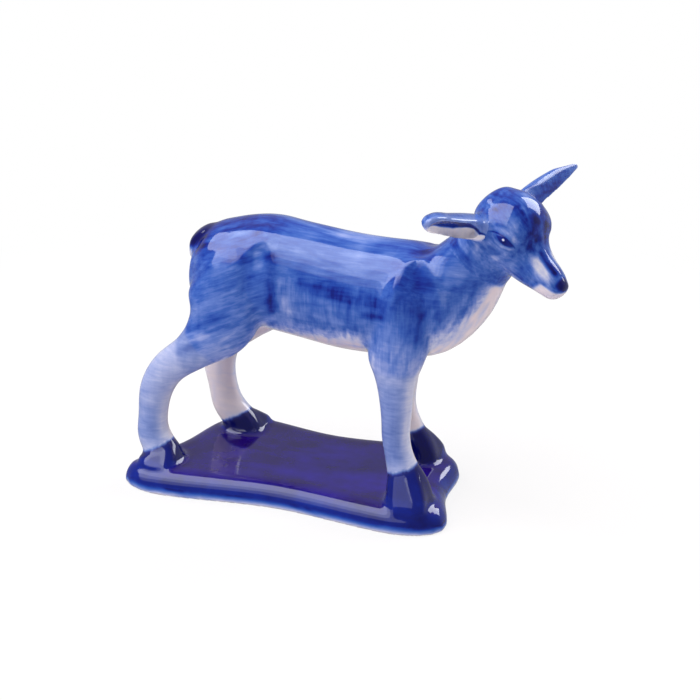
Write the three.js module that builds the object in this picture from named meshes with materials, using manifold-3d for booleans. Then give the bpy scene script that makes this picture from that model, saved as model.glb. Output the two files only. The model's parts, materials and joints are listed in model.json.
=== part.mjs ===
// Deer figurine: a glazed earthenware deer that stands on a waisted plinth.
// It is built as the pottery builds it, from separate castings that are luted together with slip before
// the firing: plinth, trunk, head, two ears, tail, four legs and four hooves. Nothing on it moves.
// Units are millimetres and degrees. +X is the way the deer faces, +Y its left side, +Z up.
// The origin is on the plinth's underside, below the middle of the stance.

import * as THREE from "three";
import { mergeVertices } from "three/addons/utils/BufferGeometryUtils.js";
import Module from "manifold-3d";

const wasm = await Module();
wasm.setup();

// Driving dimensions

const SLIP_GAP = 0.3; // slip joint between two castings

const PLINTH_HEIGHT = 6.5;
const PLINTH_EDGE_RADIUS = 5.2; // rounding of the rim, top and foot
const PLINTH_FOOT_CUT = 0.6; // height of the lower rounding that is left when the foot is ground flat
const PLINTH_TOE_MARGIN = 11; // from the middle of a front hoof to the plinth's end
const PLINTH_HEEL_MARGIN = 10; // from the middle of a hind hoof to the plinth's end
const PLINTH_SIDE_MARGIN = 10.8; // from the middle of a hoof to the plinth's long side
const PLINTH_CORNER_TURN = 5; // how far a corner's two points stand round from its hoof
const PLINTH_SIDE_WAIST = 2.6; // how far the long sides draw in
const PLINTH_END_WAIST = 1.6; // how far the ends draw in

const BODY_LENGTH = 80.6; // from the rump's first section to the neck joint
const BODY_HEIGHT = 55; // from the plinth's top to the middle of the barrel
const BODY_DEPTH = 32; // from the back to the belly
const BODY_WIDTH = 27.2;
const RUMP_DOME = 2.4; // how far the rump is rounded out behind its first section

const FRONT_SETBACK = 16.8; // from the neck joint back to the middle of the front hooves
const FRONT_STANCE_HALF = 11.8; // from the middle plane to the middle of a front hoof
const FRONT_SHOULDER_INSET = 5.2; // from the barrel's side in to the middle of a shoulder
const FRONT_SHOULDER_DOME = 9;
const FRONT_LEG_THICKNESS = 8; // fore and aft, where the leg is thinnest
const FRONT_STRIDE = 2.8; // the right front hoof stands this far ahead of the middle, the left one behind
const FRONT_LEFT_KNEE_BACK = 2.4; // the left knee stands this far behind the line from shoulder to hoof

const HIND_OVERHANG = 1.6; // from the rump's first section back to the middle of the hind hooves
const HIND_STANCE_HALF = 13;
const HIND_HIP_INSET = 5.2;
const HIND_HIP_DOME = 9;
const HIND_LEG_THICKNESS = 9;
const HIND_STRIDE = 7.2; // the left hind hoof stands this far ahead of the middle, the right one behind

const HOOF_SOLE_FORE = 6.6;
const HOOF_SOLE_AFT = 5.6;
const HOOF_SOLE_HALF_WIDTH = 5.3;
const HOOF_FLARE = 0.6; // how far the wall spreads where it runs out over the plinth's rim
const HOOF_SEAT = 2; // how far below the plinth's top the wall runs, before it is cut to the plinth
const HOOF_CLEFT_WIDTH = 1.3;
const HOOF_CLEFT_DEPTH = 4.2;

const HEAD_REACH = new THREE.Vector3(8.9, -1, 11.1); // from the neck joint to the middle of the skull
const HEAD_TURN = 22; // towards its right side
const HEAD_NOD = 38; // nose down
const SKULL_LENGTH = 28;
const SKULL_DEPTH = 19.4;
const SKULL_WIDTH = 20.4;
const OCCIPUT_DOME = 2.6;
const NOSE_DOME = 2.4;

const EYE_LENGTH = 6.6;
const EYE_HEIGHT = 3.2;
const EYE_DEPTH = 3;
const EYE_TILT = 17; // angle of the eye to the line of the face
const EYE_SPLAY = 19; // angle of the eye to the middle plane, as the skull narrows there

const EAR_LENGTH = 27;
const EAR_WIDTH = 7.7;
const EAR_THICKNESS = 6.4;
const EAR_WALL = 1.5;
const EAR_RIGHT_RISE = 12; // angle above the level of the head; the ears are set by hand and differ a little
const EAR_LEFT_RISE = 4;
const EAR_RIGHT_SWEEP = 11; // angle swept back
const EAR_LEFT_SWEEP = 9.5;
const EAR_RIGHT_ROLL = 88; // how far the opening is turned from the top of the head to the front
const EAR_LEFT_ROLL = 126;
const EAR_RIGHT_BEND = 1.8; // how far this ear's tip is bent up across the leaf

const TAIL_WIDTH = 7.4;
const TAIL_THICKNESS = 3.2;
const TAIL_TIP_DOME = 1.4;

// Places on the skull, as shares of its length, half its width and its depth from its middle.
const EYE_PLACE = { along: 0.13, side: 0.84, up: 0.134 };
const EAR_RIGHT_ROOT = { along: -0.11, side: 0.725, up: -0.08 };
const EAR_LEFT_ROOT = { along: -0.13, side: 0.64, up: 0.06 };
const RIGHT_EAR = {
  root: EAR_RIGHT_ROOT,
  rise: EAR_RIGHT_RISE,
  sweep: EAR_RIGHT_SWEEP,
  roll: EAR_RIGHT_ROLL,
  bend: EAR_RIGHT_BEND,
};
const LEFT_EAR = {
  root: EAR_LEFT_ROOT,
  rise: EAR_LEFT_RISE,
  sweep: EAR_LEFT_SWEEP,
  roll: EAR_LEFT_ROLL,
  bend: 0,
};

// Places along the body. The origin is below the middle between the front and the hind hooves.
const RUMP_X = (FRONT_SETBACK + HIND_OVERHANG - BODY_LENGTH) / 2;
const FRONT_STANCE_X = RUMP_X + BODY_LENGTH - FRONT_SETBACK;
const HIND_STANCE_X = RUMP_X - HIND_OVERHANG;

// Stations along each casting, as shares of its own sizes. along and lift place the middle of a section;
// pitch is the way the casting runs there, 0 forward and -90 down; width is across; rise and drop are to
// either side in the section's plane, such as the back and belly of the trunk, or the front and rear of a
// leg.

const BARREL = {
  x: RUMP_X,
  z: BODY_HEIGHT,
  length: BODY_LENGTH,
  height: BODY_DEPTH,
  depth: BODY_DEPTH,
  width: BODY_WIDTH,
};
const TRUNK = [
  { along: 0, lift: -0.02, pitch: 0, width: 0.63, rise: 0.31, drop: 0.3 },
  { along: 0.05, lift: 0.02, pitch: 2, width: 0.87, rise: 0.41, drop: 0.39 },
  { along: 0.12, lift: 0.03, pitch: 3, width: 0.97, rise: 0.47, drop: 0.44 },
  { along: 0.24, lift: 0.04, pitch: 0, width: 1, rise: 0.53, drop: 0.48 },
  { along: 0.39, lift: 0.03, pitch: -3, width: 0.98, rise: 0.51, drop: 0.52 },
  { along: 0.55, lift: 0, pitch: -3, width: 1, rise: 0.5, drop: 0.54 },
  { along: 0.7, lift: -0.01, pitch: 2, width: 1.02, rise: 0.5, drop: 0.52 },
  { along: 0.83, lift: 0.05, pitch: 18, width: 0.96, rise: 0.46, drop: 0.53 },
  { along: 0.93, lift: 0.21, pitch: 43, width: 0.79, rise: 0.35, drop: 0.41 },
  { along: 1, lift: 0.42, pitch: 53, width: 0.68, rise: 0.3, drop: 0.31 },
];

// The head's part of the neck goes on from the trunk's last section, at reach 0, to the middle of the skull,
// at reach 1. Its sections are shares of that last section.
const NAPE = [
  { reach: 0.55, pitch: 58, width: 0.96, rise: 0.94, drop: 0.9 },
  { reach: 1, pitch: 58, width: 0.89, rise: 0.83, drop: 0.77 },
];

// The tail lies on the rump, so it is placed by the barrel's sizes.
const FLAP = { ...BARREL, depth: TAIL_THICKNESS, width: TAIL_WIDTH };
const TAIL = [
  { along: 0.1, lift: 0.42, pitch: 203, width: 0.8, rise: 0.5, drop: 0.5 },
  { along: 0.02, lift: 0.365, pitch: 213, width: 1, rise: 0.5, drop: 0.5 },
  { along: -0.022, lift: 0.26, pitch: 244, width: 0.92, rise: 0.47, drop: 0.47 },
  { along: -0.033, lift: 0.14, pitch: 264, width: 0.6, rise: 0.34, drop: 0.34 },
];

// The skull runs along the face, from behind its middle to the nose.
const FACE = {
  x: 0,
  z: 0,
  length: SKULL_LENGTH,
  height: SKULL_DEPTH,
  depth: SKULL_DEPTH,
  width: SKULL_WIDTH,
};
const SKULL = [
  { along: -0.26, lift: 0.01, pitch: 0, width: 0.65, rise: 0.33, drop: 0.36 },
  { along: -0.13, lift: 0.01, pitch: 0, width: 0.9, rise: 0.45, drop: 0.46 },
  { along: 0.04, lift: 0, pitch: 0, width: 1, rise: 0.5, drop: 0.5 },
  { along: 0.2, lift: -0.02, pitch: -2, width: 0.91, rise: 0.43, drop: 0.5 },
  { along: 0.31, lift: -0.06, pitch: -4, width: 0.73, rise: 0.29, drop: 0.43 },
  { along: 0.46, lift: -0.08, pitch: -4, width: 0.56, rise: 0.23, drop: 0.35 },
  { along: 0.62, lift: -0.07, pitch: -2, width: 0.46, rise: 0.21, drop: 0.25 },
  { along: 0.74, lift: -0.06, pitch: 0, width: 0.39, rise: 0.17, drop: 0.18 },
];

// The ear runs from inside the skull to its tip, and width is across the leaf.
const LEAF = { x: 0, z: 0, length: EAR_LENGTH, height: 0, depth: EAR_THICKNESS, width: EAR_WIDTH };
const EAR = [
  { along: 0, lift: 0, pitch: 0, width: 0.93, rise: 0.47, drop: 0.47 },
  { along: 0.3, lift: 0, pitch: 0, width: 0.97, rise: 0.5, drop: 0.5 },
  { along: 0.55, lift: 0, pitch: 0, width: 0.87, rise: 0.45, drop: 0.45 },
  { along: 0.8, lift: 0, pitch: 0, width: 0.7, rise: 0.33, drop: 0.33 },
  { along: 0.95, lift: 0, pitch: 0, width: 0.42, rise: 0.2, drop: 0.2 },
];

// Legs, from inside the trunk to the top of the hoof, for a leg that stands in the middle of its stride.
// along is counted from the middle of the hooves and spread goes from 0 at the shoulder or hip to 1 at the
// hoof. along and lift are shares of the body's height, the rest are shares of the leg's thickness.
const FRONT_LEG = [
  { along: -0.02, lift: 1.03, spread: 0, pitch: -85, width: 1.65, rise: 1.1, drop: 1.1 },
  { along: -0.04, lift: 0.85, spread: 0.22, pitch: -92, width: 1.45, rise: 1.16, drop: 1.13 },
  { along: -0.05, lift: 0.74, spread: 0.41, pitch: -90, width: 1.28, rise: 0.95, drop: 1.1 },
  { along: -0.06, lift: 0.62, spread: 0.61, pitch: -90, width: 1.1, rise: 0.7, drop: 0.75 },
  { along: -0.065, lift: 0.45, spread: 0.8, pitch: -90, width: 0.98, rise: 0.55, drop: 0.55 },
  { along: -0.07, lift: 0.32, spread: 0.9, pitch: -88, width: 0.9, rise: 0.5, drop: 0.5 },
  { along: -0.055, lift: 0.21, spread: 0.98, pitch: -76, width: 0.95, rise: 0.53, drop: 0.5 },
  { along: -0.04, lift: 0.155, spread: 1, pitch: -70, width: 1.05, rise: 0.59, drop: 0.58 },
];
const FRONT_LEG_JOINT = 2.5; // the slip joint to the trunk, counted in stations
const FRONT_HOOF_BULGE = {
  along: -0.02,
  lift: 0.083,
  spread: 1,
  pitch: -76,
  width: 1.2,
  rise: 0.75,
  drop: 0.65,
};

const HIND_LEG = [
  { along: 0.265, lift: 1.05, spread: 0, pitch: -92, width: 1.47, rise: 1.18, drop: 1.11 },
  { along: 0.25, lift: 0.9, spread: 0.19, pitch: -98, width: 1.38, rise: 1.27, drop: 1.31 },
  { along: 0.21, lift: 0.75, spread: 0.33, pitch: -118, width: 1.24, rise: 1.02, drop: 1.02 },
  { along: 0.1, lift: 0.62, spread: 0.52, pitch: -131, width: 1.02, rise: 0.64, drop: 0.66 },
  { along: -0.025, lift: 0.5, spread: 0.69, pitch: -121, width: 0.91, rise: 0.54, drop: 0.59 },
  { along: -0.075, lift: 0.39, spread: 0.8, pitch: -96, width: 0.89, rise: 0.54, drop: 0.56 },
  { along: -0.08, lift: 0.245, spread: 0.89, pitch: -83, width: 0.82, rise: 0.48, drop: 0.51 },
  { along: -0.07, lift: 0.135, spread: 0.96, pitch: -73, width: 0.91, rise: 0.54, drop: 0.54 },
  { along: -0.033, lift: 0.07, spread: 1, pitch: -64, width: 1, rise: 0.58, drop: 0.57 },
];
const HIND_LEG_JOINT = 2.6;
const HIND_HOOF_BULGE = {
  along: -0.015,
  lift: 0.04,
  spread: 1,
  pitch: -79,
  width: 1.07,
  rise: 0.66,
  drop: 0.6,
};

// Facets
const TRUNK_SIDES = 36;
const TRUNK_RINGS = 34;
const HEAD_SIDES = 30;
const HEAD_RINGS = 26;
const LEG_SIDES = 18;
const STUB_RINGS = 12;
const LEG_RINGS = 16;
const HOOF_RINGS = 6;
const SMALL_SIDES = 16;
const SMALL_RINGS = 10;
const DOME_RINGS = 4;
const PLINTH_OUTLINE_POINTS = 72;
const PLINTH_BEVEL_STEPS = 4;

// Glaze colours
const GLAZES = {
  dense_cobalt: { color: 0x14268c, roughness: 0.12 },
  cobalt_wash: { color: 0x3f62bd, roughness: 0.12 },
  pale_wash: { color: 0xb4bfe4, roughness: 0.12 },
};

// Solids

// A closed triangle mesh as a solid that can be joined and cut.
function solidOf(geometry) {
  const bare = new THREE.BufferGeometry();
  bare.setAttribute("position", geometry.getAttribute("position"));
  bare.setIndex(geometry.getIndex());
  const merged = mergeVertices(bare, 1e-4);
  return new wasm.Manifold(
    new wasm.Mesh({
      numProp: 3,
      vertProperties: new Float32Array(merged.getAttribute("position").array),
      triVerts: new Uint32Array(merged.getIndex().array),
    }),
  );
}

function geometryOf(solid) {
  const mesh = solid.getMesh();
  const geometry = new THREE.BufferGeometry();
  geometry.setAttribute("position", new THREE.BufferAttribute(mesh.vertProperties, 3));
  geometry.setIndex(new THREE.BufferAttribute(mesh.triVerts, 1));
  geometry.computeVertexNormals();
  return geometry;
}

// Lofts

const FIELDS = ["x", "y", "z", "pitch", "half_width", "rise", "drop"];

// A station's place and section in millimetres, in the middle plane.
function station({ along, lift, pitch, width, rise, drop }, sizes) {
  return {
    x: sizes.x + along * sizes.length,
    y: 0,
    z: sizes.z + lift * sizes.height,
    pitch,
    half_width: (width * sizes.width) / 2,
    rise: rise * sizes.depth,
    drop: drop * sizes.depth,
  };
}

const trunkStations = TRUNK.map((row) => station(row, BARREL));

function grown(stations, by) {
  return stations.map((s) => ({
    ...s,
    half_width: s.half_width + by,
    rise: s.rise + by,
    drop: s.drop + by,
  }));
}

// Smooth values between stations, spaced by the distance between their middles.
function spline(stations) {
  const places = [0];
  for (let i = 1; i < stations.length; i++) {
    const [a, b] = [stations[i - 1], stations[i]];
    places.push(places[i - 1] + Math.hypot(b.x - a.x, b.y - a.y, b.z - a.z));
  }
  const values = stations.flatMap((s) => FIELDS.map((field) => s[field]));
  const curve = new THREE.CubicInterpolant(places, values, FIELDS.length);
  const sample = (distance) => {
    const found = curve.evaluate(distance);
    return Object.fromEntries(FIELDS.map((field, i) => [field, found[i]]));
  };
  // The distance to a place counted in stations, such as 2.5 for halfway from the third to the fourth.
  const distanceAt = (count) => {
    const before = Math.min(Math.floor(count), stations.length - 2);
    return THREE.MathUtils.lerp(places[before], places[before + 1], count - before);
  };
  return { sample, distanceAt, length: places.at(-1) };
}

// The way a casting runs at a section, and the direction that rise is measured in.
function sectionAxes({ pitch }) {
  const angle = THREE.MathUtils.degToRad(pitch);
  return {
    along: new THREE.Vector3(Math.cos(angle), 0, Math.sin(angle)),
    upwards: new THREE.Vector3(-Math.sin(angle), 0, Math.cos(angle)),
  };
}

// One ring of points round a section. reach shrinks it towards its middle, shift moves it along the casting.
function ring(section, sides, reach = 1, shift = 0) {
  const { along, upwards } = sectionAxes(section);
  const middle = new THREE.Vector3(section.x, section.y, section.z).addScaledVector(along, shift);
  const points = [];
  for (let i = 0; i < sides; i++) {
    const angle = (2 * Math.PI * i) / sides;
    const height = Math.sin(angle) * (Math.sin(angle) > 0 ? section.rise : section.drop);
    const across = Math.cos(angle) * section.half_width;
    const point = middle.clone().addScaledVector(upwards, height * reach);
    point.y += across * reach;
    points.push(point);
  }
  return { points, middle };
}

// A closed body through rings of points, closed at each end by a fan round that ring's middle.
function skin(rings) {
  const sides = rings[0].points.length;
  const points = rings.flatMap((r) => r.points);
  const first = points.push(rings[0].middle) - 1;
  const last = points.push(rings.at(-1).middle) - 1;
  const lastRing = (rings.length - 1) * sides;
  const faces = [];
  for (let i = 0; i < sides; i++) {
    const next = (i + 1) % sides;
    faces.push(first, next, i, last, lastRing + i, lastRing + next);
    for (let start = 0; start < lastRing; start += sides) {
      const [a, b, c, d] = [start + i, start + next, start + sides + next, start + sides + i];
      faces.push(a, b, c, a, c, d);
    }
  }
  const geometry = new THREE.BufferGeometry().setFromPoints(points);
  geometry.setIndex(faces);
  return geometry;
}

// A loft through stations, from one distance to another along them. An end is flat, or rounded by a dome.
function loft(stations, { sides, rings, from = 0, to = null, startDome = 0, endDome = 0 }) {
  const run = spline(stations);
  const end = to ?? run.length;
  const made = [];
  const dome = (section, depth, sign) => {
    for (let i = 1; i < DOME_RINGS; i++) {
      const angle = (Math.PI / 2) * (i / DOME_RINGS);
      made.push(ring(section, sides, Math.cos(angle), sign * depth * Math.sin(angle)));
    }
    const tip = ring(section, sides, 0.06, sign * depth);
    made.push(tip);
  };
  if (startDome) dome(run.sample(from), startDome, -1);
  made.reverse();
  for (let i = 0; i <= rings; i++) {
    made.push(ring(run.sample(THREE.MathUtils.lerp(from, end, i / rings)), sides));
  }
  if (endDome) dome(run.sample(end), endDome, 1);
  return skin(made);
}

// Plinth

// The outline goes round the outside of the four hooves, with drawn-in sides between the corners.
function plinthOutline(hooves) {
  const corners = hooves.map(({ x, y, end, side }) => {
    const margin = end > 0 ? PLINTH_TOE_MARGIN : PLINTH_HEEL_MARGIN;
    return {
      atEnd: new THREE.Vector3(x + end * margin, y + side * PLINTH_CORNER_TURN, 0),
      atSide: new THREE.Vector3(x + end * PLINTH_CORNER_TURN * 0.5, y + side * PLINTH_SIDE_MARGIN, 0),
    };
  });
  const between = (a, b, inward) => a.clone().lerp(b, 0.5).add(inward);
  const [frontRight, frontLeft, hindLeft, hindRight] = corners;
  const outline = [
    frontRight.atSide,
    frontRight.atEnd,
    between(frontRight.atEnd, frontLeft.atEnd, new THREE.Vector3(-PLINTH_END_WAIST, 0, 0)),
    frontLeft.atEnd,
    frontLeft.atSide,
    between(frontLeft.atSide, hindLeft.atSide, new THREE.Vector3(0, -PLINTH_SIDE_WAIST, 0)),
    hindLeft.atSide,
    hindLeft.atEnd,
    between(hindLeft.atEnd, hindRight.atEnd, new THREE.Vector3(PLINTH_END_WAIST, 0, 0)),
    hindRight.atEnd,
    hindRight.atSide,
    between(hindRight.atSide, frontRight.atSide, new THREE.Vector3(0, PLINTH_SIDE_WAIST, 0)),
  ];
  return new THREE.CatmullRomCurve3(outline, true, "centripetal");
}

// A slab with a rounded rim, ground flat below.
function plinthSolid(hooves) {
  const points = plinthOutline(hooves).getSpacedPoints(PLINTH_OUTLINE_POINTS);
  const shape = new THREE.Shape(points.slice(0, -1).map((p) => new THREE.Vector2(p.x, p.y)));
  const wall = PLINTH_HEIGHT - PLINTH_EDGE_RADIUS - PLINTH_FOOT_CUT;
  const slab = new THREE.ExtrudeGeometry(shape, {
    depth: wall,
    bevelThickness: PLINTH_EDGE_RADIUS,
    bevelSize: PLINTH_EDGE_RADIUS,
    bevelOffset: -PLINTH_EDGE_RADIUS,
    bevelSegments: PLINTH_BEVEL_STEPS,
  });
  slab.translate(0, 0, PLINTH_FOOT_CUT);
  slab.computeBoundingBox();
  const size = slab.boundingBox.getSize(new THREE.Vector3());
  const middle = slab.boundingBox.getCenter(new THREE.Vector3());
  const below = new THREE.BoxGeometry(2 * size.x, 2 * size.y, 2 * size.z);
  below.translate(middle.x, middle.y, -size.z);
  return solidOf(slab).subtract(solidOf(below));
}

// Legs and hooves

// Stations of one leg, sheared so that its hoof stands a stride ahead of the middle or behind it, with the
// knee moved off that line. The upper leg turns with the stride and the foot stays level.
function legStations(rows, { side, stride, kneeBack, middle, topHalf, hoofHalf, thickness }) {
  const sizes = {
    x: middle,
    z: 0,
    length: BODY_HEIGHT,
    height: BODY_HEIGHT,
    depth: thickness,
    width: thickness,
  };
  const top = rows[0].lift * BODY_HEIGHT;
  const swing = THREE.MathUtils.radToDeg(Math.atan2(stride, top));
  return rows.map((row) => {
    const made = station(row, sizes);
    const down = (top - made.z) / top;
    made.x += stride * down - kneeBack * Math.sin(Math.PI * down);
    made.y = side * THREE.MathUtils.lerp(topHalf, hoofHalf, row.spread);
    made.pitch += swing * Math.min(1, 2 * (1 - down));
    return made;
  });
}

// The stub that is cast with the trunk, and the leg that is luted to it.
function legSolids(stations, joint, dome) {
  const run = spline(stations);
  const cut = run.distanceAt(joint);
  const stub = loft(stations, { sides: LEG_SIDES, rings: STUB_RINGS, to: cut, startDome: dome });
  const leg = loft(stations, { sides: LEG_SIDES, rings: LEG_RINGS, from: cut + SLIP_GAP });
  return { stub: solidOf(stub), leg: solidOf(leg) };
}

// A hoof goes on from the end of its leg to its sole, and is cloven at the toe. The sole is cut to the seat.
function hoofSolid(legEnd, bulge, place, seat) {
  const { along } = sectionAxes(legEnd);
  const coronet = { ...legEnd, x: legEnd.x + along.x * SLIP_GAP, z: legEnd.z + along.z * SLIP_GAP };
  const sole = {
    x: place.x,
    y: place.y,
    z: SLIP_GAP,
    pitch: -90,
    half_width: HOOF_SOLE_HALF_WIDTH,
    rise: HOOF_SOLE_FORE,
    drop: HOOF_SOLE_AFT,
  };
  const [skirt] = grown([{ ...sole, z: -HOOF_SEAT }], HOOF_FLARE);
  const hoof = solidOf(loft([coronet, bulge, sole, skirt], { sides: LEG_SIDES, rings: HOOF_RINGS }));
  const toe = place.x + HOOF_SOLE_FORE;
  const cleft = new THREE.Shape([
    new THREE.Vector2(toe - HOOF_CLEFT_DEPTH, 0),
    new THREE.Vector2(toe + SLIP_GAP, -HOOF_CLEFT_WIDTH / 2),
    new THREE.Vector2(toe + SLIP_GAP, HOOF_CLEFT_WIDTH / 2),
  ]);
  const height = coronet.z + coronet.rise;
  const groove = new THREE.ExtrudeGeometry(cleft, { depth: height, bevelEnabled: false });
  groove.translate(0, place.y, 0);
  return hoof.subtract(solidOf(groove)).subtract(seat);
}

// Head and ears

const neckJoint = trunkStations.at(-1);
const headMiddle = HEAD_REACH.clone().add(neckJoint);
const headPose = new THREE.Matrix4().compose(
  headMiddle,
  new THREE.Quaternion().setFromEuler(
    new THREE.Euler(
      0,
      THREE.MathUtils.degToRad(HEAD_NOD),
      THREE.MathUtils.degToRad(-HEAD_TURN),
      "ZYX",
    ),
  ),
  new THREE.Vector3(1, 1, 1),
);

// A place on the skull. hand is -1 on the right and 1 on the left.
function onSkull({ along, side, up }, hand) {
  return new THREE.Vector3(
    along * SKULL_LENGTH,
    (hand * side * SKULL_WIDTH) / 2,
    up * SKULL_DEPTH,
  );
}

// The mound of one eye.
function eyeSolid(hand) {
  const mound = new THREE.SphereGeometry(0.5, SMALL_SIDES, SMALL_RINGS);
  const place = new THREE.Matrix4().compose(
    onSkull(EYE_PLACE, hand),
    new THREE.Quaternion().setFromEuler(
      new THREE.Euler(
        0,
        THREE.MathUtils.degToRad(-EYE_TILT),
        THREE.MathUtils.degToRad(-hand * EYE_SPLAY),
        "ZYX",
      ),
    ),
    new THREE.Vector3(EYE_LENGTH, EYE_DEPTH, EYE_HEIGHT),
  );
  return solidOf(mound.applyMatrix4(headPose.clone().multiply(place)));
}

// Skull and upper neck, grown by a margin where it is used to cut the ears.
function headSolid(margin = 0) {
  const skull = loft(grown(SKULL.map((row) => station(row, FACE)), margin), {
    sides: HEAD_SIDES,
    rings: HEAD_RINGS,
    startDome: OCCIPUT_DOME + margin,
    endDome: NOSE_DOME + margin,
  }).applyMatrix4(headPose);
  const { along } = sectionAxes(neckJoint);
  const collar = { ...neckJoint, x: neckJoint.x + along.x * SLIP_GAP, z: neckJoint.z + along.z * SLIP_GAP };
  const nape = NAPE.map(({ reach, pitch, width, rise, drop }) => ({
    x: THREE.MathUtils.lerp(collar.x, headMiddle.x, reach),
    y: THREE.MathUtils.lerp(collar.y, headMiddle.y, reach),
    z: THREE.MathUtils.lerp(collar.z, headMiddle.z, reach),
    pitch,
    half_width: width * collar.half_width,
    rise: rise * collar.rise,
    drop: drop * collar.drop,
  }));
  const neck = loft(grown([collar, ...nape], margin), { sides: HEAD_SIDES, rings: SMALL_RINGS });
  return solidOf(skull).add(solidOf(neck));
}

// A cupped leaf. Its own X runs to the tip, Y across the leaf and Z out of its opening.
function earLeaf(bend) {
  const stations = EAR.map((row) => ({ ...station(row, LEAF), y: bend * row.along ** 2 }));
  const leaf = loft(stations, {
    sides: SMALL_SIDES,
    rings: SMALL_RINGS,
    endDome: EAR_LENGTH * (1 - EAR.at(-1).along),
  });
  const cup = loft(
    grown(stations.slice(1), -EAR_WALL / 2).map((s) => ({ ...s, z: EAR_WALL })),
    { sides: SMALL_SIDES, rings: SMALL_RINGS, startDome: (EAR[1].along * EAR_LENGTH) / 2 },
  );
  return solidOf(leaf).subtract(solidOf(cup));
}

// The leaf on the skull, cut to the skull's surface.
function earSolid(hand, { root, rise, sweep, roll, bend }) {
  const lean = new THREE.Euler(
    THREE.MathUtils.degToRad(hand * roll),
    THREE.MathUtils.degToRad(-rise),
    THREE.MathUtils.degToRad(hand * (90 + sweep)),
    "ZYX",
  );
  const place = new THREE.Matrix4().compose(
    onSkull(root, hand),
    new THREE.Quaternion().setFromEuler(lean),
    new THREE.Vector3(1, 1, 1),
  );
  const leaf = geometryOf(earLeaf(hand * bend)).applyMatrix4(headPose.clone().multiply(place));
  return solidOf(leaf).subtract(headSolid(SLIP_GAP));
}

// Trunk and tail

function barrelSolid(margin = 0) {
  return solidOf(
    loft(grown(trunkStations, margin), {
      sides: TRUNK_SIDES,
      rings: TRUNK_RINGS,
      startDome: RUMP_DOME + margin,
    }),
  );
}

function tailSolid() {
  const tail = loft(TAIL.map((row) => station(row, FLAP)), {
    sides: SMALL_SIDES,
    rings: SMALL_RINGS,
    endDome: TAIL_TIP_DOME,
  });
  return solidOf(tail).subtract(barrelSolid(SLIP_GAP));
}

// Assembly

const LEGS = [
  { name: "front", hand: "right", end: 1, side: -1, stride: FRONT_STRIDE, kneeBack: 0 },
  { name: "front", hand: "left", end: 1, side: 1, stride: -FRONT_STRIDE, kneeBack: FRONT_LEFT_KNEE_BACK },
  { name: "hind", hand: "left", end: -1, side: 1, stride: HIND_STRIDE, kneeBack: 0 },
  { name: "hind", hand: "right", end: -1, side: -1, stride: -HIND_STRIDE, kneeBack: 0 },
].map((leg) => {
  const front = leg.end > 0;
  const stance = {
    ...leg,
    middle: front ? FRONT_STANCE_X : HIND_STANCE_X,
    topHalf: BODY_WIDTH / 2 - (front ? FRONT_SHOULDER_INSET : HIND_HIP_INSET),
    hoofHalf: front ? FRONT_STANCE_HALF : HIND_STANCE_HALF,
    thickness: front ? FRONT_LEG_THICKNESS : HIND_LEG_THICKNESS,
  };
  const rows = front ? [...FRONT_LEG, FRONT_HOOF_BULGE] : [...HIND_LEG, HIND_HOOF_BULGE];
  return {
    ...leg,
    x: stance.middle + leg.stride,
    y: leg.side * stance.hoofHalf,
    stations: legStations(rows, stance),
    joint: front ? FRONT_LEG_JOINT : HIND_LEG_JOINT,
    dome: front ? FRONT_SHOULDER_DOME : HIND_HIP_DOME,
  };
});

function mesh(name, solid, glaze) {
  const made = new THREE.Mesh(geometryOf(solid), new THREE.MeshStandardMaterial(GLAZES[glaze]));
  made.name = name;
  return made;
}

const figurine = new THREE.Group();
const plinth = plinthSolid(LEGS);
figurine.add(mesh("plinth", plinth, "dense_cobalt"));

const deer = new THREE.Group();
deer.position.z = PLINTH_HEIGHT;
figurine.add(deer);

const seat = plinth.translate([0, 0, SLIP_GAP - PLINTH_HEIGHT]);
let trunk = barrelSolid();
for (const leg of LEGS) {
  const bulge = leg.stations.at(-1);
  const shank = leg.stations.slice(0, -1);
  const made = legSolids(shank, leg.joint, leg.dome);
  const hoof = hoofSolid(shank.at(-1), bulge, leg, seat);
  trunk = trunk.add(made.stub);
  deer.add(mesh(`${leg.name}_leg_${leg.hand}`, made.leg, "pale_wash"));
  deer.add(mesh(`${leg.name}_hoof_${leg.hand}`, hoof, "dense_cobalt"));
}
deer.add(mesh("trunk", trunk, "cobalt_wash"));
deer.add(mesh("head", headSolid().add(eyeSolid(-1)).add(eyeSolid(1)), "cobalt_wash"));
deer.add(mesh("ear_right", earSolid(-1, RIGHT_EAR), "cobalt_wash"));
deer.add(mesh("ear_left", earSolid(1, LEFT_EAR), "cobalt_wash"));
deer.add(mesh("tail", tailSolid(), "dense_cobalt"));

export default figurine;
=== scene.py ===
import json
import math

import bmesh
import bpy
import numpy as np
from mathutils import Matrix, Vector
from mathutils.bvhtree import BVHTree
from mathutils.kdtree import KDTree


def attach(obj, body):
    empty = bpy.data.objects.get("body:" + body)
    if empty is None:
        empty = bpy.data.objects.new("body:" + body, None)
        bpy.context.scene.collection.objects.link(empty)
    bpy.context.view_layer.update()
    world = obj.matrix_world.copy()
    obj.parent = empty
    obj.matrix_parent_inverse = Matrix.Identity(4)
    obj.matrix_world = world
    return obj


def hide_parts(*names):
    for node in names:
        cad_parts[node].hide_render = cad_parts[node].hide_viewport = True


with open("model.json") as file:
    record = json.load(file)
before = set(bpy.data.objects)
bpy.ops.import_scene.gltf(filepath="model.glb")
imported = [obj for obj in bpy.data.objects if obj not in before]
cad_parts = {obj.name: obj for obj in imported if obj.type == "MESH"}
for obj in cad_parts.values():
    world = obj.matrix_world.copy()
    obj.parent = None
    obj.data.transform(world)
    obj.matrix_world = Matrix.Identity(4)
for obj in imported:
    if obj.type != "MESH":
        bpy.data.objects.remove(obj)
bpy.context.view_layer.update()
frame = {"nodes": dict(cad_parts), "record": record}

# Sizes are in millimetres until the pieces are made, and Blender's own are in metres.
MM = 0.001
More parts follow.
